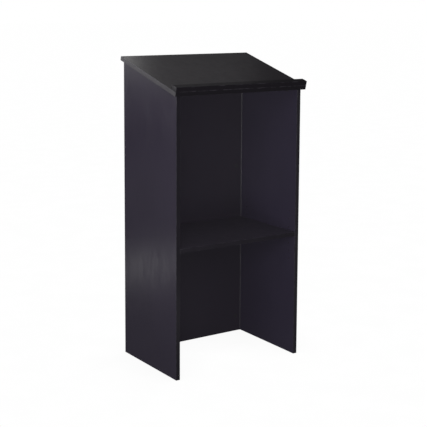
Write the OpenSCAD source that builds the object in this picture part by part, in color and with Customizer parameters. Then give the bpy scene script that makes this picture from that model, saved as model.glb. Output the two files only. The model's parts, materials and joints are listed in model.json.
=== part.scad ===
// Stand-up presentation lectern, knock-down laminated board construction.
// +X is the speaker's right, +Y points to the audience, +Z is up.
// Origin: on the floor, at the centre of the lectern's overall width and depth.
// Every board is joined with cam fittings and dowels, and the shelf stands on plug-in pins.

/* [Overall] */
// Width over the reading top
top_width = 584; // [564:1:640]
// Width over the outer faces of the two side panels
body_width = 557; // [530:1:562]
// Depth of the side panels, front edge to rear edge
body_depth = 384; // [350:1:420]
// Height of the reading top's underside at the rear edge of the side panels
rear_height = 1049.5; // [1000:0.5:1120]
// Slope of the reading top, in degrees
slope = 15; // [10:0.5:20]
// Thickness of every board
board_thick = 16; // [16:1:19]

/* [Reading top and ledge] */
// Overhang past the rear edges of the side panels, along the slope
rear_overhang = 12.5; // [8:0.5:16]
// Overhang past the front panel
front_overhang = 1.5; // [1:0.5:10]
// Depth of the book ledge, along the slope
ledge_depth = 30; // [26:1:40]
// Height of the book ledge over the reading surface
ledge_height = 18; // [17:1:25]
// Radius of the ledge's upper edges
ledge_radius = 2; // [1:0.5:4]

/* [Edge bands] */
// Thickness of the bands on the outer edges
band_thick = 1; // [0.8:0.1:2]
// Radius worked on the outer corners of those bands
band_radius = 0.7; // [0.3:0.1:0.8]
// Thickness of the strips between the front panel and the side panels
joint_thick = 2; // [1:0.5:3]
// Radius of the bead that the same strips form in the inner corners
bead_radius = 3; // [1.5:0.5:3]

/* [Shelf] */
// Height of the shelf's upper face, in the hole row it is delivered in
shelf_top = 490; // [440:1:560]
// Gap at each end of the shelf
shelf_side_gap = 1; // [0.8:0.1:2]
// Gap between the shelf and the front panel
shelf_front_gap = 3.5; // [3.5:0.5:10]
// Distance from the side panels' rear edges to the shelf's rear edge
shelf_recess = 1; // [0.5:0.5:20]
// Pitch of the shelf pin holes
hole_pitch = 32; // [25:1:40]
// Rows of shelf pin holes above and below the shelf
hole_rows = 3; // [1:1:4]

/* [Fittings] */
// Diameter of the shelf pin holes
pin_hole_diameter = 5; // [4:0.5:6]
// Running gap around a pin, on the radius
pin_gap = 0.05; // [0.03:0.01:0.1]
// Distance from a joint to the centre of its cam
cam_setback = 24; // [24:1:34]
// Height of the front panel's lower edge over the floor
front_panel_lift = 0; // [0:1:40]

/* [Hidden] */
$fn = 64;

// Bores and fittings
fitting_depth = 8;        // board's inner face to the fittings' centre line
cam_radius = 7.5;
cam_bore_depth = 12.5;
bolt_radius = 3;
bolt_bore_depth = 11.5;
channel_radius = 4;       // bolt's channel from a board's edge to its cam
dowel_radius = 4;
dowel_length = 30;
front_dowel_bores = [11.5, 19];   // depth in the side panel, in the front panel
front_dowel_shift = 3.8;          // dowel's centre, from the joint into the front panel
top_dowel_bores = [11.8, 18.8];   // depth in the reading top, in the side panel
top_dowel_shift = 3.6;            // dowel's centre, from the joint into the side panel
fit_gap = 0.06;           // around cam nuts and dowels, on the radius
screw_bore_radius = 1.8;
over = 1;                 // how far a bore's cutter runs past the face

// Across the lectern
half_top = top_width / 2;
outer_x = body_width / 2;
inner_x = outer_x - board_thick;
side_fitting_x = inner_x + fitting_depth;

// Along the slope (u), from the side panels' rear edges
side_length = body_depth / cos(slope);
top_rear_u = -rear_overhang;
top_front_u = (body_depth + front_overhang) / cos(slope);
top_cam_u = [58, side_length - 72];
top_dowel_u = [120, side_length - 140];

// Front to rear; the overall depth is centred on y = 0
rear_reach = rear_overhang * cos(slope) + (board_thick + ledge_height) * sin(slope);
rear_y = (rear_reach - body_depth - front_overhang) / 2;   // side panels' rear edges
front_y = rear_y + body_depth;                             // front panel's outer face
front_inner_y = front_y - board_thick;
front_fitting_y = front_inner_y + fitting_depth;

// Heights; upright boards are cut from raw_height down to the slope
front_height = rear_height + body_depth * tan(slope);
raw_height = front_height + 20;
front_cam_pitch = 320;
front_cam_z = [for (i = [0 : 3]) 62 + i * front_cam_pitch];
front_dowel_z = [for (i = [0, 2]) front_cam_z[i] + front_cam_pitch / 2] == [] ? [] :
    [for (i = [0, 2]) front_cam_z[i == 0 ? 0 : 2] + front_cam_pitch / 2];

// Shelf and its pins
shelf_bottom = shelf_top - board_thick;
shelf_rear_y = rear_y + shelf_recess;
shelf_front_y = front_inner_y - shelf_front_gap;
half_shelf = inner_x - shelf_side_gap;
pin_inset = 40;
pin_y = [rear_y + pin_inset, front_inner_y - pin_inset];
pin_z = shelf_bottom - pin_hole_diameter / 2;
pin_hole_depth = 10.5;

// Ledge screws
ledge_screw_pitch = 160;
ledge_screw_x = [for (i = [-1.5 : 1.5]) i * ledge_screw_pitch];
ledge_screw_u = top_rear_u + ledge_depth / 2;
ledge_bore_depth = 14.5;

laminate = [0.075, 0.07, 0.085];
banding = [0.13, 0.125, 0.14];
steel = [0.72, 0.72, 0.74];
zinc = [0.6, 0.61, 0.63];
beech = [0.78, 0.62, 0.42];
nylon = [0.10, 0.10, 0.11];

// ---- placement; those for one side use the left, -X ----

// Frame on the reading top's underside: X across, Y up the slope, Z square to the board.
module on_slope() translate([0, rear_y, rear_height]) rotate([slope, 0, 0]) children();

module right_side() mirror([1, 0, 0]) children();

module both_sides() {
    children();
    right_side() children();
}

// On the side panel's inner face, +Z into the lectern.
module at_front_joint(heights)
    for (z = heights) translate([-inner_x, front_fitting_y, z]) rotate([0, 90, 0]) children();

// On the front panel's inner face, +Z to the rear.
module at_front_cams()
    for (z = front_cam_z)
        translate([-inner_x + cam_setback, front_inner_y, z]) rotate([90, 0, 0]) children();

// The next three are used inside on_slope().
module at_top_joint(places) for (u = places) translate([-side_fitting_x, u, 0]) children();

module at_top_cams()
    for (u = top_cam_u) translate([-inner_x, u, -cam_setback]) rotate([0, 90, 0]) children();

module at_ledge_screws() for (x = ledge_screw_x) translate([x, ledge_screw_u, 0]) children();

// ---- shared shapes ----

// An outline drawn in Y and Z, extruded along X.
module yz_prism(from_x, to_x)
    translate([from_x, 0, 0]) rotate([90, 0, 90]) linear_extrude(height = to_x - from_x) children();

// Cutter for everything above the underside of the reading top.
module above_slope() {
    side = 50;
    rear = 200;
    front = 300;
    on_slope() translate([-half_top - side, -rear, 0])
        cube([top_width + 2 * side, body_depth + rear + front, 400]);
}

// Band section, with its two corners at x = 0 rounded.
module band_outline() difference() {
    square([band_thick, board_thick]);
    for (end = [0, 1]) translate([0, end * (board_thick - band_radius)]) difference() {
        square([band_radius, band_radius]);
        translate([band_radius, (1 - end) * band_radius]) circle(r = band_radius);
    }
}

// Bore from z = 0 down to -depth.
module hole(radius, depth) translate([0, 0, -depth]) cylinder(r = radius, h = depth + over);

// ---- fittings, each along its own +Z; turned profiles are [radius, z] ----

// Steel dowel for a cam: wood thread below z = 0, head at the cam's centre.
module cam_bolt() {
    turns = 5;
    thread_pitch = 2.1;
    thread_start = -10.6;
    crest = bolt_radius - 0.05;
    rotate_extrude() polygon(concat(
        [[0, -11], [1.7, -11]],
        [for (i = [0 : turns - 1], point = [[1.9, 0], [crest, 0.5], [1.9, 1.3]])
            point + [0, thread_start + i * thread_pitch]],
        [[2.4, -0.6], [2.4, 0.2], [3.7, 0.2], [3.7, 2.2], [2.8, 2.2], [2.8, 16], [2, 16.2],
         [2, cam_setback - 2], [2.9, cam_setback - 2], [3.3, cam_setback - 1.6],
         [3.3, cam_setback + 0.9], [2.7, cam_setback + 1.5], [0, cam_setback + 1.5]]));
}

// Cam nut: body below z = 0, slot towards +X for the bolt's neck.
module cam_nut() {
    height = 12;
    bottom = -height - 0.2;
    cut_bottom = bottom - 0.1;
    slot_width = 4.6;
    slot_length = 10;
    cross = [6.4, 1.8, 3];
    difference() {
        translate([0, 0, bottom]) cylinder(r = cam_radius - fit_gap, h = height);
        // hollow for the bolt's head, open below
        translate([0, 0, cut_bottom]) cylinder(r = 4.7, h = 7.9);
        translate([0, -slot_width / 2, cut_bottom]) cube([slot_length, slot_width, 6.7]);
        translate([0, 0, -fitting_depth]) rotate([0, 90, 0])
            cylinder(r = slot_width / 2, h = slot_length);
        // cross recess and its centre
        for (angle = [45, 135]) rotate([0, 0, angle])
            translate([-cross.x / 2, -cross.y / 2, -2.7]) cube(cross);
        translate([0, 0, -3.1]) cylinder(r = 1.3, h = 3.2);
    }
}

// Press-in cover for a cam nut, seated on the board's face at z = 0.
module cam_cap() rotate_extrude() polygon([
    [0, -1.9], [0.9, -1.9], [1.1, -1.7], [1.1, 0], [8.6, 0], [8.6, 0.35], [8.0, 0.9], [0, 0.9]]);

// Chamfered dowel, centred at z = 0.
module dowel() {
    radius = dowel_radius - fit_gap;
    end = dowel_length / 2;
    tip = radius - 1;
    shoulder = end - 1.2;
    rotate_extrude() polygon([
        [0, -end], [tip, -end], [radius, -shoulder], [radius, shoulder], [tip, end], [0, end]]);
}

// Countersunk screw, its cross-slotted head at z = 0.
module ledge_screw() {
    slot = [3.8, 0.7, 1.6];
    difference() {
        rotate_extrude() polygon([
            [0, 0.05], [3.6, 0.05], [3.6, 0.2], [1.7, 2.2], [1.2, 2.6], [1.2, 9], [1.7, 9.4],
            [1.7, 26.5], [0.1, 30], [0, 30]]);
        for (angle = [0, 90]) rotate([0, 0, angle])
            translate([-slot.x / 2, -slot.y / 2, -0.1]) cube(slot);
    }
}

// Plug-in shelf support along +X: pin, collar and a tongue under the shelf.
module shelf_pin() {
    pin_length = 9.5;
    tongue_length = 8.5;          // to the centre of its round end
    tongue_radius = 5.5;
    half_rib = 1.4;
    half_height = pin_hole_diameter / 2;
    cut_z = -half_height - 0.5;
    cut = [14, 4.6, 0.2 - cut_z];
    rotate([0, 90, 0]) {
        translate([0, 0, -pin_length]) cylinder(r = half_height - pin_gap, h = pin_length + 0.5);
        cylinder(r = 4, h = 0.8);
    }
    difference() {
        translate([0, 0, -half_height]) {
            translate([0, -tongue_radius, 0])
                cube([tongue_length, 2 * tongue_radius, pin_hole_diameter]);
            translate([tongue_length, 0, 0]) cylinder(r = tongue_radius, h = pin_hole_diameter);
        }
        // the tongue is thin beyond the collar, with a rib down its middle
        for (y = [-half_rib - cut.y, half_rib]) translate([2.4, y, cut_z]) cube(cut);
    }
}

// ---- side panels ----

module side_holes() {
    for (y = pin_y, row = [-hole_rows : hole_rows])
        translate([-inner_x, y, pin_z + row * hole_pitch]) rotate([0, 90, 0])
            hole(pin_hole_diameter / 2, pin_hole_depth);
    at_front_joint(front_cam_z) hole(bolt_radius, bolt_bore_depth);
    at_front_joint(front_dowel_z) hole(dowel_radius, front_dowel_bores[0]);
    on_slope() {
        at_top_cams() hole(cam_radius, cam_bore_depth);
        at_top_joint(top_cam_u) hole(channel_radius, cam_setback);
        at_top_joint(top_dowel_u) hole(dowel_radius, top_dowel_bores[1]);
    }
}

module side_panel() color(laminate) difference() {
    translate([-outer_x, rear_y + band_thick, 0])
        cube([board_thick, body_depth - 2 * band_thick, raw_height]);
    above_slope();
    side_holes();
}

module side_rear_band() color(banding) difference() {
    translate([-inner_x, rear_y, 0]) linear_extrude(height = raw_height)
        rotate([0, 0, 90]) band_outline();
    above_slope();
}

module side_front_band() color(banding) difference() {
    translate([-outer_x, front_y, 0]) linear_extrude(height = raw_height)
        rotate([0, 0, -90]) band_outline();
    above_slope();
}

module left_side_panel() side_panel();
module right_side_panel() right_side() side_panel();
module left_panel_rear_edge_band() side_rear_band();
module left_panel_front_edge_band() side_front_band();
module right_panel_rear_edge_band() right_side() side_rear_band();
module right_panel_front_edge_band() right_side() side_front_band();

// ---- front panel ----

module front_edge_holes() both_sides() {
    at_front_joint(front_cam_z) rotate([0, 180, 0]) hole(channel_radius, cam_setback);
    at_front_joint(front_dowel_z) rotate([0, 180, 0]) hole(dowel_radius, front_dowel_bores[1]);
}

module front_panel() color(laminate) difference() {
    half_width = inner_x - joint_thick;
    translate([-half_width, front_inner_y, front_panel_lift])
        cube([2 * half_width, board_thick, raw_height - front_panel_lift]);
    above_slope();
    front_edge_holes();
    both_sides() at_front_cams() hole(cam_radius, cam_bore_depth);
}

// Strip in each upright joint of the front panel, with a quarter-round bead inside.
module front_panel_joint_strips() color(banding) both_sides() difference() {
    overlap = 0.5;
    translate([-inner_x, front_inner_y, front_panel_lift]) linear_extrude(height = front_height) {
        translate([0, -overlap]) square([joint_thick, board_thick + overlap]);
        intersection() {
            circle(r = bead_radius);
            translate([0, -bead_radius - 1]) square(bead_radius + 1);
        }
    }
    above_slope();
    front_edge_holes();
}

// ---- reading top and ledge ----

module reading_top() color(laminate) on_slope() difference() {
    translate([-half_top + band_thick, top_rear_u + band_thick, 0])
        cube([top_width - 2 * band_thick, top_front_u - top_rear_u - 2 * band_thick, board_thick]);
    both_sides() {
        at_top_joint(top_cam_u) rotate([180, 0, 0]) hole(bolt_radius, bolt_bore_depth);
        at_top_joint(top_dowel_u) rotate([180, 0, 0]) hole(dowel_radius, top_dowel_bores[0]);
    }
    at_ledge_screws() {
        translate([0, 0, -over]) cylinder(r = screw_bore_radius, h = board_thick + 2 * over);
        translate([0, 0, -0.01]) cylinder(r1 = 3.85, r2 = screw_bore_radius, h = 2.6);
    }
}

module top_side_band() color(banding) on_slope()
    translate([-half_top, top_front_u, 0]) rotate([90, 0, 0])
        linear_extrude(height = top_front_u - top_rear_u) band_outline();

// An outline extruded between the end bands of the reading top or ledge.
module between_end_bands() yz_prism(-half_top + band_thick, half_top - band_thick) children();

module reading_top_left_edge_band() top_side_band();
module reading_top_right_edge_band() right_side() top_side_band();

module reading_top_rear_edge_band() color(banding) on_slope()
    between_end_bands() translate([top_rear_u, 0]) band_outline();

module reading_top_front_edge_band() color(banding) on_slope()
    between_end_bands() translate([top_front_u, board_thick]) rotate([0, 0, 180]) band_outline();

// Section of the ledge, its upper corners rounded.
module ledge_outline() translate([top_rear_u, board_thick]) {
    square([ledge_depth, ledge_height - ledge_radius]);
    translate([ledge_radius, 0]) square([ledge_depth - 2 * ledge_radius, ledge_height]);
    for (u = [ledge_radius, ledge_depth - ledge_radius])
        translate([u, ledge_height - ledge_radius]) circle(r = ledge_radius);
}

module book_ledge() color(laminate) on_slope() difference() {
    between_end_bands() ledge_outline();
    at_ledge_screws() translate([0, 0, board_thick - over])
        cylinder(r = screw_bore_radius, h = ledge_bore_depth + over);
}

module book_ledge_end_bands() color(banding) on_slope() both_sides()
    yz_prism(-half_top, -half_top + band_thick) ledge_outline();

// ---- shelf ----

module shelf() color(laminate)
    translate([-half_shelf, shelf_rear_y + band_thick, shelf_bottom])
        cube([2 * half_shelf, shelf_front_y - shelf_rear_y - band_thick, board_thick]);

module shelf_rear_edge_band() color(banding)
    yz_prism(-half_shelf, half_shelf) translate([shelf_rear_y, shelf_bottom]) band_outline();

// ---- fittings in place ----

module front_panel_cam_bolts() color(steel) both_sides() at_front_joint(front_cam_z) cam_bolt();

module front_panel_cam_nuts() color(zinc) both_sides()
    at_front_cams() rotate([0, 0, 180]) cam_nut();

module front_panel_dowels() color(beech) both_sides()
    at_front_joint(front_dowel_z) translate([0, 0, front_dowel_shift]) dowel();

module reading_top_cam_bolts() color(steel) on_slope() both_sides()
    at_top_joint(top_cam_u) rotate([180, 0, 0]) cam_bolt();

module reading_top_cam_nuts() color(zinc) on_slope() both_sides()
    at_top_cams() rotate([0, 0, 180]) cam_nut();

module reading_top_dowels() color(beech) on_slope() both_sides()
    at_top_joint(top_dowel_u) translate([0, 0, -top_dowel_shift]) dowel();

module front_panel_cam_caps() color(nylon) both_sides() at_front_cams() cam_cap();
module side_panel_cam_caps() color(nylon) on_slope() both_sides() at_top_cams() cam_cap();

// Driven from below, through the reading top into the ledge.
module book_ledge_screws() color(steel) on_slope() at_ledge_screws() ledge_screw();

module shelf_pins() color(steel) both_sides()
    for (y = pin_y) translate([-inner_x, y, pin_z]) shelf_pin();

left_side_panel();
right_side_panel();
front_panel();
reading_top();
book_ledge();
shelf();
left_panel_rear_edge_band();
left_panel_front_edge_band();
right_panel_rear_edge_band();
right_panel_front_edge_band();
front_panel_joint_strips();
reading_top_left_edge_band();
reading_top_right_edge_band();
reading_top_front_edge_band();
reading_top_rear_edge_band();
book_ledge_end_bands();
shelf_rear_edge_band();
front_panel_cam_bolts();
front_panel_cam_nuts();
front_panel_dowels();
reading_top_cam_bolts();
reading_top_cam_nuts();
reading_top_dowels();
front_panel_cam_caps();
side_panel_cam_caps();
book_ledge_screws();
shelf_pins();
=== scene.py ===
import json
import math

import bmesh
import bpy
import numpy as np
from mathutils import Matrix, Vector


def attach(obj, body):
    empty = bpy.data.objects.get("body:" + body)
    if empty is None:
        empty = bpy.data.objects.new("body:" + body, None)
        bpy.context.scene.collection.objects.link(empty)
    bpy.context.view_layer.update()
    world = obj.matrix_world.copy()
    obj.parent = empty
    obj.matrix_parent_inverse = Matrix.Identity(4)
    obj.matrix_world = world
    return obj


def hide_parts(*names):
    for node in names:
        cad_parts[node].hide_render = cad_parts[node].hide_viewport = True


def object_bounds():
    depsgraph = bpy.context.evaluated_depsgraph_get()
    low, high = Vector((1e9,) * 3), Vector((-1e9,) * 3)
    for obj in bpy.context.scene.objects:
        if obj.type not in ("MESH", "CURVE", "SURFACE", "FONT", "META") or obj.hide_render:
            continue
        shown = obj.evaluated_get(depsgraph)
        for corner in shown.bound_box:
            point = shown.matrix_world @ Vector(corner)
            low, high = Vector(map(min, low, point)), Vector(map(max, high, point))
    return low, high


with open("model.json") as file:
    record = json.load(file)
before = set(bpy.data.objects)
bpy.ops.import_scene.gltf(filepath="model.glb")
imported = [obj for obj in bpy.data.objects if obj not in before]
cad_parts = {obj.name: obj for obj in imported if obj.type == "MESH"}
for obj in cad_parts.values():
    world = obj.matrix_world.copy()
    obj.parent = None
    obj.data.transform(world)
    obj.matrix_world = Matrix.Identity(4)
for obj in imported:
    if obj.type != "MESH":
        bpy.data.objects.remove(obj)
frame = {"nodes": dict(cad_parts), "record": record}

CAD_LO, CAD_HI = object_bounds()
RECORD = frame["record"]
NODES = frame["nodes"]
BODY_OF = {n: b for b, members in RECORD["behaviour"]["bodies"].items() for n in members}
MM = 0.001


# ------------------------------------------------------------------ frame: what the CAD says

def main_normal(node, axis):
    """Exact normal of the node's largest flat face that looks along axis."""
    total = {}
    for p in NODES[node].data.polygons:
        if p.normal.dot(axis) > 0.5:
            k = tuple(round(c, 2) for c in p.normal)
            total.setdefault(k, Vector((0, 0, 0)))
            total[k] += p.normal * p.area
    return max(total.values(), key=lambda v: v.length).normalized()


TOP_N = main_normal("reading_top", Vector((0, 0, 1)))
SLOPE = math.atan2(-TOP_N.y, TOP_N.z)
ON_SLOPE = Matrix.Rotation(SLOPE, 3, "X")
FLAT = Matrix.Identity(3)


def local_box(node, rot=FLAT):
    """Box of a CAD node in a turned frame."""
    inv = rot.transposed()
    co = [inv @ v.co for v in NODES[node].data.vertices]
    return (Vector([min(c[i] for c in co) for i in range(3)]),
            Vector([max(c[i] for c in co) for i in range(3)]))


def solids(node, rot=FLAT):
    """Boxes of a CAD node's separate solids, in a turned frame."""
    me = NODES[node].data
    inv = rot.transposed()
    ids, root = {}, []

    def find(i):
        while root[i] != i:
            root[i] = root[root[i]]
            i = root[i]
        return i

    vid = []
    for v in me.vertices:
        k = (round(v.co.x * 1e5), round(v.co.y * 1e5), round(v.co.z * 1e5))
        if k not in ids:
            ids[k] = len(root)
            root.append(len(root))
        vid.append(ids[k])
    for p in me.polygons:
        a = find(vid[p.vertices[0]])
        for q in p.vertices[1:]:
            root[find(vid[q])] = a
    boxes = {}
    for v, i in zip(me.vertices, vid):
        c = inv @ v.co
        g = boxes.setdefault(find(i), [c.copy(), c.copy()])
        g[0] = Vector(map(min, g[0], c))
        g[1] = Vector(map(max, g[1], c))
    return sorted(boxes.values(), key=lambda b: tuple(round(c, 4) for c in (b[0] + b[1]) / 2))


def placed(rot, origin, direction, spin=0.0):
    """Matrix that puts a fitting, drawn along its own +Z, at a point of a turned frame."""
    q = Vector(direction).to_track_quat("Z", "Y").to_matrix().to_4x4()
    return rot.to_4x4() @ Matrix.Translation(origin) @ q @ Matrix.Rotation(spin, 4, "Z")


# ------------------------------------------------------------------ mesh helpers

def lathe(rings, seg, wobble=None):
    """Closed solid of revolution. rings: (z, r) from one pole to the other; wobble(z, angle, r) bends the radius."""
    verts, faces, rows = [], [], []
    for z, r in rings:
        if r < 1e-9:
            rows.append([len(verts)])
            verts.append((0.0, 0.0, z))
            continue
        row = []
        for k in range(seg):
            a = 2 * math.pi * k / seg
            rr = wobble(z, a, r) if wobble else r
            row.append(len(verts))
            verts.append((rr * math.cos(a), rr * math.sin(a), z))
        rows.append(row)
    for a, b in zip(rows, rows[1:]):
        if len(a) == 1:
            faces += [(a[0], b[(k + 1) % seg], b[k]) for k in range(seg)]
        elif len(b) == 1:
            faces += [(a[k], a[(k + 1) % seg], b[0]) for k in range(seg)]
        else:
            faces += [(a[k], a[(k + 1) % seg], b[(k + 1) % seg], b[k]) for k in range(seg)]
    return verts, faces


def to_mesh(name, verts, faces):
    me = bpy.data.meshes.new(name)
    me.from_pydata([tuple(v) for v in verts], [], faces)
    me.validate()
    bm = bmesh.new()
    bm.from_mesh(me)
    bmesh.ops.recalc_face_normals(bm, faces=bm.faces)
    bm.to_mesh(me)
    bm.free()
    return me


def object_of(me, name):
    o = bpy.data.objects.new(name, me)
    bpy.context.scene.collection.objects.link(o)
    return o


def cut_with(verts, faces, cutters):
    """The solid less the cutters, as (verts, faces)."""
    base = object_of(to_mesh("cut_base", verts, faces), "cut_base")
    extra = []
    for i, (cv, cf) in enumerate(cutters):
        c = object_of(to_mesh("cutter%d" % i, cv, cf), "cutter%d" % i)
        m = base.modifiers.new("cut%d" % i, "BOOLEAN")
        m.operation, m.solver, m.object = "DIFFERENCE", "EXACT", c
        extra.append(c)
    bpy.context.view_layer.update()
    dg = bpy.context.evaluated_depsgraph_get()
    done = bpy.data.meshes.new_from_object(base.evaluated_get(dg))
    v = [tuple(x.co) for x in done.vertices]
    f = [tuple(p.vertices) for p in done.polygons]
    for o in [base] + extra:
        me = o.data
        bpy.data.objects.remove(o)
        bpy.data.meshes.remove(me)
    bpy.data.meshes.remove(done)
    return v, f


def box_solid(lo, hi, taper=1.0):
    """Box whose upper face is scaled by taper."""
    cx, cy = (lo[0] + hi[0]) / 2, (lo[1] + hi[1]) / 2
    v = []
    for z, s in ((lo[2], 1.0), (hi[2], taper)):
        for x, y in ((lo[0], lo[1]), (hi[0], lo[1]), (hi[0], hi[1]), (lo[0], hi[1])):
            v.append((cx + (x - cx) * s, cy + (y - cy) * s, z))
    return v, [(3, 2, 1, 0), (4, 5, 6, 7), (0, 1, 5, 4), (1, 2, 6, 5), (2, 3, 7, 6), (3, 0, 4, 7)]


def group(name, node, base, places, material, bevel=0.0, smooth_deg=35.0):
    """One piece that stands for a CAD node of identical fittings: a copy of base at each place."""
    verts, faces = [], []
    for m in places:
        at = len(verts)
        verts += [m @ Vector(v) for v in base[0]]
        faces += [tuple(i + at for i in f) for f in base[1]]
    o = object_of(to_mesh(name, verts, faces), name)
    o.data.materials.append(material)
    for p in o.data.polygons:
        p.use_smooth = True
    sharp_edges(o.data, smooth_deg)
    if bevel:
        b = o.modifiers.new("edges", "BEVEL")
        b.width, b.segments, b.limit_method, b.angle_limit = bevel, 2, "ANGLE", math.radians(40)
    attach(o, BODY_OF[node])
    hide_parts(node)
    return o


def sharp_edges(me, deg):
    bm = bmesh.new()
    bm.from_mesh(me)
    for e in bm.edges:
        e.smooth = not (len(e.link_faces) == 2 and e.calc_face_angle(0) > math.radians(deg))
    bm.to_mesh(me)
    bm.free()


# ------------------------------------------------------------------ material helpers

class Nodes:
    """Short way to write a node tree."""

    def __init__(self, name):
        self.mat = bpy.data.materials.new(name)
        self.mat.use_nodes = True
        self.t = self.mat.node_tree
        self.t.nodes.clear()
        self.out = self.t.nodes.new("ShaderNodeOutputMaterial")

    def new(self, kind, ins=None, **props):
        n = self.t.nodes.new("ShaderNode" + kind)
        for k, v in props.items():
            setattr(n, k, v)
        for k, v in (ins or {}).items():
            self.put(n.inputs[k], v)
        return n

    def put(self, socket, v):
        if isinstance(v, bpy.types.NodeSocket):
            self.t.links.new(v, socket)
        elif isinstance(v, bpy.types.Node):
            self.t.links.new(v.outputs[0], socket)
        else:
            socket.default_value = v

    def math(self, op, a, b=0.0, c=0.0, clamp=False):
        return self.new("Math", {0: a, 1: b, 2: c}, operation=op, use_clamp=clamp).outputs[0]

    def vec(self, op, a, b=None):
        n = self.new("VectorMath", {0: a}, operation=op)
        if b is not None:
            self.put(n.inputs[1], b)
        return n.outputs["Value"] if op in ("DOT_PRODUCT", "LENGTH", "DISTANCE") else n.outputs[0]

    def ramp(self, x, a, b, lo=0.0, hi=1.0, smooth=True):
        """x mapped from [a, b] to [lo, hi], clamped."""
        n = self.new("MapRange", {0: x, 1: a, 2: b, 3: lo, 4: hi}, clamp=True)
        n.interpolation_type = "SMOOTHSTEP" if smooth else "LINEAR"
        return n.outputs[0]

    def mix(self, f, a, b):
        n = self.new("Mix", data_type="RGBA")
        self.put(n.inputs[0], f)
        for i, v in ((6, a), (7, b)):
            self.put(n.inputs[i], v if not isinstance(v, tuple) or len(v) == 4 else v + (1.0,))
        return n.outputs[2]

    def noise(self, co, scale, detail=2.0, rough=0.5, dist=0.0):
        return self.new("TexNoise", {"Vector": co, "Scale": scale, "Detail": detail,
                                     "Roughness": rough, "Distortion": dist}).outputs["Fac"]

    def scaled(self, co, s):
        return self.new("Mapping", {"Vector": co, "Scale": s}).outputs[0]

    def bump(self, height, distance, strength=1.0, normal=None):
        n = self.new("Bump", {"Height": height, "Distance": distance, "Strength": strength})
        if normal is not None:
            self.put(n.inputs["Normal"], normal)
        return n.outputs[0]

    def surface(self, **ins):
        names = {"color": "Base Color", "rough": "Roughness", "metal": "Metallic", "normal": "Normal",
                 "ior": "IOR", "spec": "Specular IOR Level", "coat": "Coat Weight",
                 "coat_rough": "Coat Roughness", "sheen": "Sheen Weight"}
        b = self.new("BsdfPrincipled")
        for k, v in ins.items():
            self.put(b.inputs[names[k]], v if not isinstance(v, tuple) or len(v) == 4 else v + (1.0,))
        self.put(self.out.inputs[0], b)
        return self.mat

    def object_co(self):
        c = self.new("TexCoord")
        return c.outputs["Object"], c.outputs["Normal"]


# near-black melamine with a slight violet cast (scene-linear); each board has its own tint, lighter or darker as
# painted light and shade on that board
LAMINATE_LIT_AND_SHADED = {
    "left_side_panel": (0.0285, 0.0230, 0.0398),
    "right_side_panel": (0.0305, 0.0252, 0.0460),
    "front_panel": (0.0218, 0.0180, 0.0272),
    "reading_top": (0.0215, 0.0182, 0.0210),
    "shelf": (0.0300, 0.0260, 0.0360),
}
FOIL = (0.0038, 0.0030, 0.0042)
BAND = (0.0100, 0.0090, 0.0120)
# darker tints of the rear-facing bands (shelf, reading top, left panel): painted shade on edges that face away from the
# light
SHELF_BAND_PAINTED_SHADE = (0.0090, 0.0078, 0.0108)
REAR_BAND_PAINTED_SHADE = (0.0034, 0.0028, 0.0038)
PANEL_REAR_BAND_PAINTED_SHADE = (0.0065, 0.0057, 0.0078)
# light tint of the reading top's side bands: a painted highlight along those edges
SIDE_BAND_PAINTED_HIGHLIGHT = (0.0560, 0.0530, 0.0600)
# light tint of the front panel's joint strips: a painted glint along the inner corners
JOINT_STRIP_PAINTED_GLINT = (0.0460, 0.0435, 0.0525)
ROUGH, SPEC = 0.33, 0.35
MATT_SPEC = 0.12


def edge_distance(k, co, lo, hi, rot):
    """Distance to the nearest edge of a box, in metres: the second smallest distance to its faces."""
    inv = rot.transposed()
    d = []
    for i in range(3):
        c = k.vec("DOT_PRODUCT", co, tuple(inv[i]))
        d.append(k.math("MINIMUM", k.math("SUBTRACT", c, lo[i]), k.math("SUBTRACT", hi[i], c)))
    small = k.math("MINIMUM", k.math("MAXIMUM", d[0], d[1]),
                   k.math("MINIMUM", k.math("MAXIMUM", d[1], d[2]), k.math("MAXIMUM", d[0], d[2])))
    return small, d


def melamine_parts(k, co, tint):
    """Colour, roughness and height of the satin black melamine face."""
    pebble = k.new("TexVoronoi", {"Vector": co, "Scale": 620.0, "Smoothness": 0.6, "Randomness": 1.0},
                   feature="SMOOTH_F1").outputs["Distance"]
    grain = k.noise(co, 1500.0, 3.0, 0.6)
    swell = k.noise(co, 55.0, 2.0, 0.5)
    cloud = k.noise(co, 4.2, 3.0, 0.55)
    smear = k.noise(k.scaled(co, (9.0, 9.0, 2.2)), 3.0, 4.0, 0.6, 0.8)
    tone = k.math("ADD", k.ramp(cloud, 0.3, 0.7, 0.95, 1.05), k.ramp(grain, 0.3, 0.7, -0.05, 0.05))
    color = k.vec("SCALE", tint)
    k.put(color.node.inputs["Scale"], tone)
    rough = k.math("ADD", k.ramp(smear, 0.35, 0.7, ROUGH - 0.03, ROUGH + 0.03), k.ramp(grain, 0.25, 0.75, -0.03, 0.03))
    height = k.math("ADD", k.math("MULTIPLY", pebble, 0.75), k.math("MULTIPLY", grain, 0.35))
    height = k.math("ADD", height, k.math("MULTIPLY", swell, 0.5))
    return color, rough, height


def chipboard_parts(k, co, nrm):
    """Colour and height of a sawn chipboard edge."""
    big = k.new("TexVoronoi", {"Vector": k.scaled(co, (1.0, 1.0, 1.0)), "Scale": 420.0, "Randomness": 1.0})
    fine = k.new("TexVoronoi", {"Vector": co, "Scale": 1300.0, "Randomness": 1.0})
    chip = k.new("SeparateColor", {0: big.outputs["Color"]}).outputs[0]
    dust = k.new("SeparateColor", {0: fine.outputs["Color"]}).outputs[1]
    c = k.mix(k.ramp(chip, 0.1, 0.9), (0.235, 0.150, 0.082), (0.46, 0.33, 0.205))
    c = k.mix(k.math("MULTIPLY", k.ramp(dust, 0.55, 1.0), 0.55), c, (0.12, 0.072, 0.04))
    height = k.math("ADD", chip, k.math("MULTIPLY", dust, 0.5))
    return c, height


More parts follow.
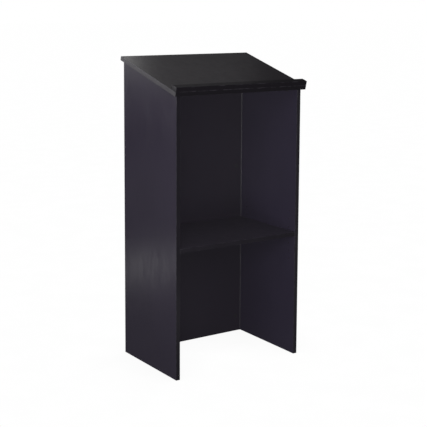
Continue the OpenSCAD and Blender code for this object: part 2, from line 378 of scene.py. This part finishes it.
def board_material(name, node, skin_axis, rot=FLAT, wear=0.5, stained=False):
    """Black melamine on the two large faces, chipboard on sawn edges and in drilled holes (darkened there as painted
    shade), skins seen as dark lines.
    """
    k = Nodes(name)
    co, nrm = k.object_co()
    lo, hi = local_box(node, rot)
    axis = tuple(rot @ Vector([1.0 if i == skin_axis else 0.0 for i in range(3)]))
    # the board's tint carries painted light and shade
    color, rough, height = melamine_parts(k, co, LAMINATE_LIT_AND_SHADED[node])
    near, d = edge_distance(k, co, lo, hi, rot)
    # worn arris: a thin, broken, slightly lighter line along the edges of the laminate
    breakup = k.ramp(k.noise(co, 38.0, 4.0, 0.65), 0.42, 0.62)
    rub = k.math("MULTIPLY", k.ramp(near, 0.0, 0.0016, 1.0, 0.0), breakup)
    color = k.mix(k.math("MULTIPLY", rub, wear), color, (0.060, 0.056, 0.068))
    rough = k.math("ADD", rough, k.math("MULTIPLY", rub, 0.08))
    normal = k.bump(height, 0.00005, 0.55)
    core, core_h = chipboard_parts(k, co, nrm)
    if stained:
        core = k.mix(0.93, core, (0.0170, 0.0150, 0.0190))
    skin = k.ramp(d[skin_axis], 0.00022, 0.00030, 1.0, 0.0)
    core = k.mix(skin, core, (0.020, 0.018, 0.024))
    # drilled holes lie away from the board's edges; their walls are painted dark as the shade inside the holes
    a, b = [d[i] for i in range(3) if i != skin_axis]
    core = k.mix(k.ramp(k.math("MINIMUM", a, b), 0.002, 0.004), core, (0.022, 0.017, 0.014))
    core_n = k.bump(core_h, 0.00025, 0.8)
    face = k.math("GREATER_THAN", k.math("ABSOLUTE", k.vec("DOT_PRODUCT", nrm, axis)), 0.80)
    color = k.mix(face, core, color)
    rough = k.ramp(face, 0.0, 1.0, 0.85, rough, smooth=False)
    n = k.new("Mix", data_type="VECTOR")
    k.put(n.inputs[0], face)
    k.put(n.inputs[4], core_n)
    k.put(n.inputs[5], normal)
    return k.surface(color=color, rough=rough, normal=n.outputs[1], spec=k.ramp(face, 0.0, 1.0, 0.2, SPEC, smooth=False))


def wrapped_material(name, node, rot=FLAT):
    """Black foil all round, for a wrapped profile."""
    k = Nodes(name)
    co, nrm = k.object_co()
    lo, hi = local_box(node, rot)
    color, rough, height = melamine_parts(k, co, FOIL)
    near, d = edge_distance(k, co, lo, hi, rot)
    breakup = k.ramp(k.noise(co, 30.0, 4.0, 0.65), 0.42, 0.62)
    rub = k.math("MULTIPLY", k.ramp(near, 0.0006, 0.0026, 1.0, 0.0), breakup)
    color = k.mix(k.math("MULTIPLY", rub, 0.5), color, (0.060, 0.056, 0.068))
    return k.surface(color=color, rough=k.math("ADD", rough, k.math("MULTIPLY", rub, 0.06)),
                     normal=k.bump(height, 0.00005, 0.55), spec=MATT_SPEC)


def band_material(name, node, long_dir, rot=FLAT, tint=BAND, wear=0.6, rough0=0.36, spec=SPEC):
    """Extruded plastic band: fine lines along its length, a slightly rubbed rounded arris."""
    k = Nodes(name)
    co, nrm = k.object_co()
    lo, hi = local_box(node, rot)
    near, d = edge_distance(k, co, lo, hi, rot)
    u = Vector(long_dir).normalized()
    # coordinates squeezed along the band, so that noise turns into lines
    along = k.vec("DOT_PRODUCT", co, tuple(u))
    pull = k.new("VectorMath", {0: tuple(u)}, operation="SCALE")
    k.put(pull.inputs["Scale"], k.math("MULTIPLY", along, 0.985))
    flat = k.vec("SUBTRACT", co, pull.outputs[0])
    lines = k.noise(flat, 2400.0, 2.0, 0.6)
    soft = k.noise(flat, 420.0, 2.0, 0.5)
    patch = k.noise(co, 24.0, 3.0, 0.6)
    tone = k.math("ADD", k.ramp(patch, 0.3, 0.7, 0.94, 1.06), k.ramp(lines, 0.3, 0.7, -0.06, 0.06))
    color = k.vec("SCALE", tint)
    k.put(color.node.inputs["Scale"], tone)
    rub = k.math("MULTIPLY", k.ramp(near, 0.0001, 0.0011, 1.0, 0.0), k.ramp(k.noise(co, 60.0, 4.0, 0.7), 0.4, 0.62))
    color = k.mix(k.math("MULTIPLY", rub, wear), color, (0.070, 0.066, 0.078))
    rough = k.math("ADD", k.ramp(patch, 0.3, 0.7, rough0 - 0.03, rough0 + 0.04), k.ramp(lines, 0.3, 0.7, -0.02, 0.03))
    height = k.math("ADD", k.math("MULTIPLY", lines, 0.6), k.math("MULTIPLY", soft, 0.7))
    return k.surface(color=color, rough=rough, normal=k.bump(height, 0.00003, 0.5), spec=spec)


def plated_material(name):
    """Bright zinc plate on steel."""
    k = Nodes(name)
    co, nrm = k.object_co()
    cloud = k.noise(co, 190.0, 4.0, 0.6)
    fine = k.noise(co, 2600.0, 2.0, 0.6)
    color = k.mix(k.ramp(cloud, 0.3, 0.72), (0.60, 0.62, 0.65), (0.74, 0.73, 0.69))
    rough = k.math("ADD", k.ramp(cloud, 0.3, 0.7, 0.22, 0.36), k.ramp(fine, 0.3, 0.7, -0.03, 0.05))
    return k.surface(color=color, rough=rough, metal=1.0, normal=k.bump(fine, 0.00002, 0.4))


def casting_material(name):
    """Tumbled zinc die-casting."""
    k = Nodes(name)
    co, nrm = k.object_co()
    cloud = k.noise(co, 260.0, 4.0, 0.65)
    pits = k.new("TexVoronoi", {"Vector": co, "Scale": 1500.0}, feature="F1").outputs["Distance"]
    color = k.mix(k.ramp(cloud, 0.3, 0.7), (0.36, 0.37, 0.39), (0.52, 0.52, 0.53))
    rough = k.ramp(cloud, 0.3, 0.7, 0.40, 0.58)
    height = k.math("ADD", cloud, k.math("MULTIPLY", pits, 0.6))
    return k.surface(color=color, rough=rough, metal=1.0, normal=k.bump(height, 0.00005, 0.5))


def beech_material(name, long_dir):
    """Raw beech: pale, with growth lines and short dark flecks along the grain."""
    k = Nodes(name)
    co, nrm = k.object_co()
    u = Vector(long_dir).normalized()
    along = k.vec("DOT_PRODUCT", co, tuple(u))
    pull = k.new("VectorMath", {0: tuple(u)}, operation="SCALE")
    k.put(pull.inputs["Scale"], k.math("MULTIPLY", along, 0.93))
    flat = k.vec("SUBTRACT", co, pull.outputs[0])
    rings = k.noise(flat, 520.0, 3.0, 0.6, 0.6)
    fleck = k.noise(flat, 2300.0, 1.0, 0.5)
    color = k.mix(k.ramp(rings, 0.35, 0.65), (0.50, 0.33, 0.185), (0.64, 0.46, 0.28))
    color = k.mix(k.ramp(fleck, 0.62, 0.74, 0.0, 0.6), color, (0.27, 0.15, 0.075))
    return k.surface(color=color, rough=k.ramp(rings, 0.3, 0.7, 0.58, 0.72),
                     normal=k.bump(k.math("ADD", rings, fleck), 0.00006, 0.5), spec=0.35)


def cap_material(name):
    """Moulded black cover cap, spark-eroded texture."""
    k = Nodes(name)
    co, nrm = k.object_co()
    spark = k.noise(co, 3200.0, 2.0, 0.7)
    cloud = k.noise(co, 60.0, 3.0, 0.5)
    color = k.mix(k.ramp(cloud, 0.3, 0.7), (0.0145, 0.0140, 0.0165), (0.0195, 0.0185, 0.0230))
    return k.surface(color=color, rough=k.ramp(spark, 0.3, 0.7, 0.44, 0.56),
                     normal=k.bump(spark, 0.00004, 0.5), spec=0.5)


# ------------------------------------------------------------------ boards and bands: CAD nodes with their materials

S = ON_SLOPE
board = {
    "left_side_panel": board_material("melamine_left_panel", "left_side_panel", 0),
    "right_side_panel": board_material("melamine_right_panel", "right_side_panel", 0),
    "front_panel": board_material("melamine_front_panel", "front_panel", 1),
    "reading_top": board_material("melamine_reading_top", "reading_top", 2, S),
    "shelf": board_material("melamine_shelf", "shelf", 2, stained=True),
    "book_ledge": wrapped_material("melamine_ledge", "book_ledge", S),
}
UP, ACROSS, SLOPED = (0, 0, 1), (1, 0, 0), tuple(S @ Vector((0, 1, 0)))
band = {
    "left_panel_rear_edge_band": UP, "left_panel_front_edge_band": UP,
    "right_panel_rear_edge_band": UP, "right_panel_front_edge_band": UP,
    "front_panel_joint_strips": UP,
    "reading_top_left_edge_band": SLOPED, "reading_top_right_edge_band": SLOPED,
    "reading_top_front_edge_band": ACROSS, "reading_top_rear_edge_band": ACROSS,
    "book_ledge_end_bands": SLOPED, "shelf_rear_edge_band": ACROSS,
}


def dress(node, material, bevel, segments=2):
    """Material and fine worked edges on a CAD node. The mesh itself stays as packed."""
    o = NODES[node]
    while len(o.data.materials) < 1:
        o.data.materials.append(None)
    for i in range(len(o.data.materials)):
        o.data.materials[i] = material
    w = o.modifiers.new("weld", "WELD")
    w.merge_threshold = 0.00001
    if bevel:
        b = o.modifiers.new("arris", "BEVEL")
        b.width, b.segments, b.limit_method, b.angle_limit = bevel, segments, "ANGLE", math.radians(38)
        b.use_clamp_overlap = True
    n = o.modifiers.new("normals", "WEIGHTED_NORMAL")
    n.keep_sharp, n.weight = False, 90
    return o


for node, mat in board.items():
    dress(node, mat, 0.00022)
for node, direction in band.items():
    sloped = node.startswith("reading_top") or node.startswith("book_ledge")
    # joint strips: lighter tint as a painted glint
    tint = {"front_panel_joint_strips": JOINT_STRIP_PAINTED_GLINT, "shelf_rear_edge_band": SHELF_BAND_PAINTED_SHADE,
            # reading top's side bands: lighter tint as a painted highlight
            "reading_top_left_edge_band": SIDE_BAND_PAINTED_HIGHLIGHT, "reading_top_right_edge_band": SIDE_BAND_PAINTED_HIGHLIGHT,
            # rear-facing bands: darker tints as painted shade
            "reading_top_rear_edge_band": REAR_BAND_PAINTED_SHADE,
            "left_panel_rear_edge_band": PANEL_REAR_BAND_PAINTED_SHADE}.get(node, BAND)
    matt = node in ("reading_top_rear_edge_band", "shelf_rear_edge_band", "left_panel_rear_edge_band")
    dress(node, band_material("band_" + node, node, direction, S if sloped else FLAT, tint,
                              spec=MATT_SPEC if matt else SPEC), 0.0)

casting = casting_material("die_cast_zinc")
plated = plated_material("zinc_plated_steel")
for node in ("front_panel_cam_nuts", "reading_top_cam_nuts"):
    dress(node, casting, 0.00015)
dress("shelf_pins", plated, 0.00035, 3)


# ------------------------------------------------------------------ fittings as modelled pieces

def threaded(rings, z0, z1, root, crest, pitch, lead=1.6, step=0.16):
    """rings with a helical thread between z0 and z1: (ring list, wobble). Sizes in millimetres."""
    n = int(round((z1 - z0) / step))
    out = []
    for z, r in rings:
        if z0 < z < z1:
            continue
        out.append((z, r))
    body = [(z0 + (z1 - z0) * i / n, root) for i in range(n + 1)]
    out = [p for p in out if p[0] <= z0] + body + [p for p in out if p[0] >= z1]

    def wobble(z, a, r):
        zz = z / MM
        if not (z0 <= zz <= z1) or r > root * MM * 1.02:
            return r
        phase = (zz / pitch - a / (2 * math.pi)) % 1.0
        ridge = max(0.0, 1.0 - abs(phase - 0.5) / 0.24) ** 0.8
        fade = min(1.0, (zz - z0) / lead, (z1 - zz) / lead)
        return r + (crest - root) * MM * ridge * max(0.0, fade)

    return [(z * MM, r * MM) for z, r in out], wobble


# cam bolt: wood thread below z = 0, collar on the board, turned neck and head in the cam
bolt_rings, bolt_wobble = threaded(
    [(-11.0, 0.0), (-11.0, 1.0), (-10.8, 1.5), (-10.6, 1.85), (-0.5, 1.9), (-0.3, 2.35), (0.2, 2.4), (0.25, 3.45),
     (0.45, 3.68), (1.95, 3.68), (2.2, 3.45), (2.25, 2.85), (2.5, 2.78), (15.9, 2.78), (16.3, 2.1), (16.6, 2.0),
     (21.6, 2.0), (22.0, 2.3), (22.15, 2.85), (22.5, 3.2), (23.3, 3.28), (24.6, 3.28), (25.1, 3.0), (25.45, 2.4),
     (25.5, 2.0), (25.5, 0.0)], -10.6, -0.5, 1.9, 2.92, 2.1)
bolt_base = lathe(bolt_rings, 40, bolt_wobble)
# cross recess in the head
cross = [box_solid((-1.5 * MM, -0.32 * MM, 24.2 * MM), (1.5 * MM, 0.32 * MM, 26.2 * MM)),
         box_solid((-0.32 * MM, -1.5 * MM, 24.2 * MM), (0.32 * MM, 1.5 * MM, 26.2 * MM))]
bolt = cut_with(bolt_base[0], bolt_base[1], cross)

# fluted beech dowel
FLUTES = 20


def dowel_wobble(z, a, r):
    if abs(z) > 12.9 * MM:
        return r
    s = 0.5 - 0.5 * math.cos(a * FLUTES)
    return r - 0.24 * MM * s ** 1.6


dowel = lathe([(z * MM, r * MM) for z, r in (
    (-15.0, 0.0), (-15.0, 2.7), (-14.85, 3.0), (-14.0, 3.62), (-13.6, 3.80), (-13.0, 3.93), (-12.6, 3.93), (-12.0, 3.93),
    (0.0, 3.93), (12.0, 3.93), (12.6, 3.93), (13.0, 3.93), (13.6, 3.80), (14.0, 3.62), (14.85, 3.0), (15.0, 2.7), (15.0, 0.0))],
    FLUTES * 6, dowel_wobble)


# moulded cover cap with a low dome, a rolled rim, a pry notch and a stub for the cam's recess
def cap_wobble(z, a, r):
    if r < 7.6 * MM:
        return r
    d = (a - 1.5 * math.pi)
    return r - 0.75 * MM * math.exp(-(d / 0.075) ** 2)


cap = lathe([(z * MM, r * MM) for z, r in (
    (-1.85, 0.0), (-1.85, 0.8), (-1.7, 1.02), (-1.5, 1.08), (0.01, 1.08), (0.01, 4.0), (0.01, 7.7), (0.01, 8.45),
    (0.08, 8.57), (0.25, 8.60), (0.42, 8.52), (0.57, 8.32), (0.66, 8.05), (0.67, 7.80), (0.60, 7.62), (0.60, 7.40),
    (0.68, 7.10), (0.76, 6.0), (0.83, 4.0), (0.87, 2.0), (0.88, 0.9), (0.88, 0.0))], 96, cap_wobble)

# countersunk chipboard screw: head in the underside of the top, point in the ledge
screw_rings, screw_wobble = threaded(
    [(0.06, 0.0), (0.06, 1.6), (0.06, 3.35), (0.14, 3.55), (0.3, 3.56), (0.5, 3.36), (2.0, 1.86), (2.3, 1.62),
     (2.8, 1.30), (3.2, 1.22), (9.4, 1.15), (27.4, 1.15), (28.2, 0.95), (29.2, 0.5), (29.9, 0.12), (30.0, 0.0)],
    9.4, 27.4, 1.15, 1.69, 1.5, lead=2.0, step=0.15)
screw_base = lathe(screw_rings, 36, screw_wobble)
recess = [box_solid((-1.85 * MM, -0.34 * MM, -1.0 * MM), (1.85 * MM, 0.34 * MM, 1.9 * MM), 0.45),
          box_solid((-0.34 * MM, -1.85 * MM, -1.0 * MM), (0.34 * MM, 1.85 * MM, 1.9 * MM), 0.45)]
screw = cut_with(screw_base[0], screw_base[1], recess)


def side(b):
    """-1 for a solid on the left, +1 on the right."""
    return -1 if (b[0].x + b[1].x) < 0 else 1


def mid(b):
    return (b[0] + b[1]) / 2


places = []
for i, b in enumerate(solids("front_panel_cam_bolts")):
    c, s = mid(b), side(b)
    x = b[0].x + 11 * MM if s < 0 else b[1].x - 11 * MM
    places.append(placed(FLAT, (x, c.y, c.z), (-s, 0, 0), 0.7 * i))
group("cam_bolts_of_front_panel", "front_panel_cam_bolts", bolt, places, plated)

places = []
for i, b in enumerate(solids("reading_top_cam_bolts", S)):
    c = mid(b)
    places.append(placed(S, (c.x, c.y, b[1].z - 11 * MM), (0, 0, -1), 0.9 * i))
group("cam_bolts_of_reading_top", "reading_top_cam_bolts", bolt, places, plated)

places = [placed(FLAT, mid(b), (1, 0, 0), 0.4 * i) for i, b in enumerate(solids("front_panel_dowels"))]
group("dowels_of_front_panel", "front_panel_dowels", dowel, places, beech_material("beech_across", (1, 0, 0)))
places = [placed(S, mid(b), (0, 0, 1), 0.4 * i) for i, b in enumerate(solids("reading_top_dowels", S))]
group("dowels_of_reading_top", "reading_top_dowels", dowel, places, beech_material("beech_upright", tuple(TOP_N)))

cap_plastic = cap_material("cap_plastic")
places = [placed(FLAT, (mid(b).x, b[0].y + 0.9 * MM, mid(b).z), (0, -1, 0)) for b in solids("front_panel_cam_caps")]
group("cover_caps_of_front_panel", "front_panel_cam_caps", cap, places, cap_plastic)
places = []
for b in solids("side_panel_cam_caps", S):
    c, s = mid(b), side(b)
    x = b[1].x - 0.9 * MM if s < 0 else b[0].x + 0.9 * MM
    places.append(placed(S, (x, c.y, c.z), (-s, 0, 0)))
group("cover_caps_of_side_panels", "side_panel_cam_caps", cap, places, cap_plastic)

places = [placed(S, (mid(b).x, mid(b).y, b[0].z - 0.05 * MM), (0, 0, 1), 0.5 * i)
          for i, b in enumerate(solids("book_ledge_screws", S))]
group("screws_of_book_ledge", "book_ledge_screws", screw, places, plated)


# ------------------------------------------------------------------ floor, light, camera

def add_floor():
    me = bpy.data.meshes.new("floor")
    bm = bmesh.new()
    bmesh.ops.create_grid(bm, x_segments=8, y_segments=8, size=40.0)
    bm.to_mesh(me)
    bm.free()
    o = object_of(me, "floor")
    o.location.z = CAD_LO.z - 0.0002
    k = Nodes("pale_floor")
    path = k.new("LightPath")
    co, nrm = k.object_co()
    mottled = k.ramp(k.noise(co, 6.0, 3.0, 0.5), 0.3, 0.7, 0.992, 1.0)
    # the camera sees a white floor with a breath of contact shade; the object is lit by an ordinary pale floor
    ao = k.new("AmbientOcclusion", {"Distance": 0.30}, samples=16).outputs["AO"]
    level = k.math("MULTIPLY", k.ramp(ao, 0.25, 1.0, FLOOR_SHADE, 1.0), mottled)
    tone = k.vec("SCALE", (1.0, 1.0, 1.0))
    k.put(tone.node.inputs["Scale"], level)
    seen = k.new("Emission", {0: tone, 1: 1.0})
    other = k.new("BsdfDiffuse", {0: (FLOOR_BOUNCE, FLOOR_BOUNCE, FLOOR_BOUNCE, 1)})
    m = k.new("MixShader", {0: path.outputs["Is Camera Ray"], 1: other, 2: seen})
    k.put(k.out.inputs[0], m)
    k.mat.cycles.emission_sampling = "NONE"
    me.materials.append(k.mat)


FLOOR_SHADE, FLOOR_BOUNCE = 0.95, 0.12
add_floor()

scene = bpy.context.scene
scene.view_settings.view_transform = "Standard"
scene.view_settings.look = "None"
# veiling glare of a lens that looks at a black thing on white: a small even lift of the darkest tones
scene.view_settings.use_curve_mapping = True
scene.view_settings.curve_mapping.black_level = (-0.0060, -0.0055, -0.0068)
scene.view_settings.curve_mapping.update()

world = bpy.data.worlds.new("studio")
world.use_nodes = True
wt = world.node_tree
wt.nodes.clear()
w_out = wt.nodes.new("ShaderNodeOutputWorld")
w_mix = wt.nodes.new("ShaderNodeMixShader")
w_path = wt.nodes.new("ShaderNodeLightPath")
w_amb = wt.nodes.new("ShaderNodeBackground")
w_see = wt.nodes.new("ShaderNodeBackground")
w_amb.inputs[0].default_value = (1, 1, 1, 1)
w_see.inputs[0].default_value = (1, 1, 1, 1)
w_see.inputs[1].default_value = 1.0
wt.links.new(w_path.outputs["Is Camera Ray"], w_mix.inputs[0])
wt.links.new(w_amb.outputs[0], w_mix.inputs[1])
wt.links.new(w_see.outputs[0], w_mix.inputs[2])
wt.links.new(w_mix.outputs[0], w_out.inputs[0])
scene.world = world

MIDDLE = (CAD_LO + CAD_HI) / 2
WORLD = 0.03
w_amb.inputs[1].default_value = WORLD

# name: (azimuth, elevation, distance, width, height, power). Azimuth 0 looks from -Y, 90 from +X.
LIGHTS = {
    "front_left": (-150, 25, 2.2, 1, 1, 7.54),
    "rear_left": (-30, 25, 2.2, 1, 1, 6.67),
    "rear_left_card": (-36.9, 11.9, 1.533, 0.4, 0.6, 5.83),
    "left_low": (-60, 2, 2.2, 1, 1, 4.98),
    "rear_left_high": (-30, 50, 2.2, 1, 1, 4.35),
    "rear_left_floor": (-36.9, -10.7, 1.527, 0.4, 0.3, 4.13),
    "front_left_card_top": (-121.6, 36.2, 1.891, 0.45, 0.45, 2.77),
    "left_high": (-90, 50, 2.2, 1, 1, 2.06),
    "left_card_top": (-58.4, 36.2, 1.891, 0.45, 0.45, 1.84),
    "front_left_card": (-121.6, 22, 1.646, 0.45, 0.45, 1.25),
    "front_left_near": (-123.7, 35.3, 1.325, 0.3, 0.3, 0.88),
    "front_right_high": (150, 50, 2.2, 1, 1, 0.5),
    "front_near_high": (173.7, 52.2, 1.476, 0.35, 0.35, 0.42),
    "front_left_near_high": (-145, 56.3, 1.101, 0.25, 0.25, 0.27),
    "rear_floor": (0, -35.8, 0.863, 0.3, 0.2, 0.23),
    "left_floor_strip": (-139.2, -19.8, 1.545, 0.3, 0.1, 0.22),
    "front_left_floor": (-143.1, -6.7, 2.014, 0.5, 0.3, 0.09),
    "front_right_low": (120, 2, 2.2, 1, 1, 24),
    "soft_rear_right": (45, 5, 2.2, 1, 1, 14),
}


def add_light(name, az, el, dist, w, h, power):
    a, e = math.radians(az), math.radians(el)
    d = Vector((math.sin(a) * math.cos(e), -math.cos(a) * math.cos(e), math.sin(e)))
    L = bpy.data.lights.new(name, "AREA")
    L.shape, L.size, L.size_y, L.energy = "RECTANGLE", w, h, power
    o = bpy.data.objects.new(name, L)
    scene.collection.objects.link(o)
    o.location = MIDDLE + d * dist
    o.rotation_mode = "QUATERNION"
    o.rotation_quaternion = (-d).to_track_quat("-Z", "Y")
    o.visible_camera = False
    o.visible_glossy = not name.startswith("soft_")
    return o


for name, spec in LIGHTS.items():
    if spec[5] > 0:
        add_light(name, *spec)

cam = bpy.data.cameras.new("camera")
co = bpy.data.objects.new("camera", cam)
scene.collection.objects.link(co)
YAW, PITCH, ROLL = 0.612839, 0.131682, 0.009154
SHIFT_X, SHIFT_Y = -29.119 / 427.0, -78.946 / 427.0
fw = Vector((math.sin(YAW) * math.cos(PITCH), math.cos(YAW) * math.cos(PITCH), -math.sin(PITCH)))
rt = Vector((math.cos(YAW), -math.sin(YAW), 0.0))
up = rt.cross(fw)
r2 = rt * math.cos(ROLL) + up * math.sin(ROLL)
u2 = -rt * math.sin(ROLL) + up * math.cos(ROLL)
m = Matrix((r2, u2, -fw)).transposed().to_4x4()
m.translation = Vector((-2.267344, -3.419223, 1.414288))
co.matrix_world = m
cam.sensor_fit = "HORIZONTAL"
cam.sensor_width = 36.0
cam.lens = 36.0 * 1076.418 / 427.0
cam.clip_start, cam.clip_end = 0.05, 200.0
scene.camera = co


def shift_at_home(prop, value):
    """The lens is shifted only where the camera stands here. Seen from any other place, the object is centred."""
    d = cam.driver_add(prop).driver
    d.type = "SCRIPTED"
    home = []
    for axis, at in zip("XYZ", co.matrix_world.translation):
        v = d.variables.new()
        v.name, v.type = "p" + axis.lower(), "TRANSFORMS"
        t = v.targets[0]
        t.id, t.transform_type, t.transform_space = co, "LOC_" + axis, "WORLD_SPACE"
        home.append("abs(p%s - %.6f)" % (axis.lower(), at) if at >= 0 else "abs(p%s + %.6f)" % (axis.lower(), -at))
    d.expression = "%.8f if %s < 0.001 else 0.0" % (value, " + ".join(home))


cam.shift_x = SHIFT_X
cam.shift_y = SHIFT_Y
shift_at_home("shift_x", SHIFT_X)
shift_at_home("shift_y", SHIFT_Y)
